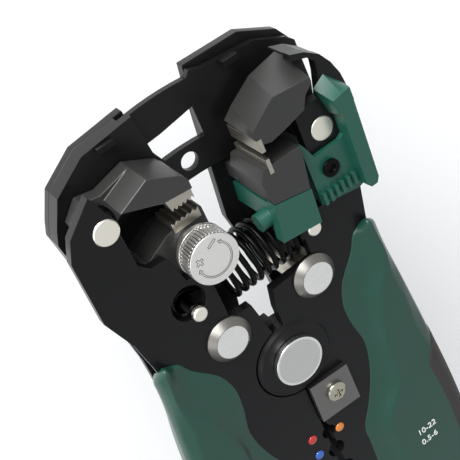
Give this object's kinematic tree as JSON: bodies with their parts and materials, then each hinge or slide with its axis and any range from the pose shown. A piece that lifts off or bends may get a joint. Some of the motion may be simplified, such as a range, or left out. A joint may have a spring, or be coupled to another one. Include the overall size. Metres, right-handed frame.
{
  "type": "wire stripper",
  "caption": "Self-adjusting wire stripper with two hinged heads, swinging jaws, side cutter, crimping nests, adjusting knob and sliding wire stop.",
  "frame": {"origin": "main pivot axis, at the level of the surface that the tool lies on", "axes": "+Y along the tool from the pivot to the stripping heads, +Z out of the tool's front face, +X to the stripping-blade side; heads at rest are spread (handles squeezed)"},
  "size_m": [0.0774, 0.2091, 0.025],
  "materials": {
    "black_plate": "black satin powder coat on stamped steel",
    "black_jaw": "black matt coat on cast jaw blocks",
    "green_grip": "moulded dark green grip",
    "green_plastic": "moulded green plastic",
    "black_inlay": "soft black overmould",
    "black_rubber": "rubber buffer",
    "tool_steel": "ground tool steel",
    "nickel_knob": "satin nickel on knurled brass",
    "polished_rivet": "polished steel rivet head",
    "plain_steel": "turned steel",
    "zinc_screw": "plated screw",
    "black_spring": "blackened spring wire"
  },
  "bodies": {
    "left_frame": {"left_front_plate": "black_plate", "left_rear_plate": "black_plate", "left_knuckle_plate": "black_plate", "left_rim_doubler": "black_plate", "left_grip": "green_grip", "left_grip_inlay": "black_inlay", "gripping_lower_jaw": "black_jaw", "lower_jaw_teeth": "tool_steel", "gripping_jaw_pin": "plain_steel", "left_side_rivet": "polished_rivet", "left_side_spacer": "plain_steel", "left_spring_post": "plain_steel", "main_pivot_rivet": "polished_rivet", "pivot_sleeve": "plain_steel", "travel_stop": "black_rubber", "main_tension_spring": "black_spring", "gripping_jaw_spring": "black_spring"},
    "gripping_jaw_arm": {"gripping_upper_jaw": "black_jaw", "upper_jaw_teeth": "tool_steel"},
    "pressure_knob": {"adjusting_knob": "nickel_knob", "knob_screw": "nickel_knob"},
    "right_frame": {"right_front_plate": "black_plate", "right_rear_plate": "black_plate", "link_plate": "black_plate", "link_spacers": "plain_steel", "right_grip": "green_grip", "right_grip_inlay": "black_inlay", "cutting_lower_jaw": "black_jaw", "lower_stripping_blade": "tool_steel", "stop_housing": "green_plastic", "cutting_jaw_pin": "plain_steel", "right_side_rivet": "polished_rivet", "right_side_spacer": "plain_steel", "right_spring_post": "plain_steel", "cutter_blade": "tool_steel", "cutter_screw": "zinc_screw", "cutting_jaw_spring": "black_spring"},
    "cutting_jaw_arm": {"cutting_upper_jaw": "black_jaw", "upper_stripping_blade": "tool_steel"},
    "length_stop": {"wire_stop": "green_plastic", "stop_screw": "zinc_screw"}
  },
  "joints": [
    {"name": "handle_hinge", "type": "hinge", "parent": "left_frame", "child": "right_frame", "pos_m": [0, 0, 0.011], "axis": [0, 0, 1], "range_deg": [0, 12], "deforming": ["main_tension_spring"]},
    {"name": "gripping_jaw_hinge", "type": "hinge", "parent": "left_frame", "child": "gripping_jaw_arm", "pos_m": [-0.0242, 0.0567, 0.011], "axis": [0, 0, 1], "range_deg": [0, 14.4]},
    {"name": "cutting_jaw_hinge", "type": "hinge", "parent": "right_frame", "child": "cutting_jaw_arm", "pos_m": [0.0266, 0.0476, 0.011], "axis": [0, 0, 1], "range_deg": [-9.6, 0]},
    {"name": "knob_turn", "type": "hinge", "parent": "left_frame", "child": "pressure_knob", "pos_m": [-0.0087, 0.0408, 0.02], "axis": [0, 0, 1], "range_deg": [-180, 180]},
    {"name": "stop_slide", "type": "slide", "parent": "right_frame", "child": "length_stop", "axis": [1, 0, 0], "range_m": [0, 0.006]}
  ],
  "couplings": [
    {"joint": "gripping_jaw_hinge", "follows": "handle_hinge", "ratio": 1.2},
    {"joint": "cutting_jaw_hinge", "follows": "handle_hinge", "ratio": -0.8}
  ]
}
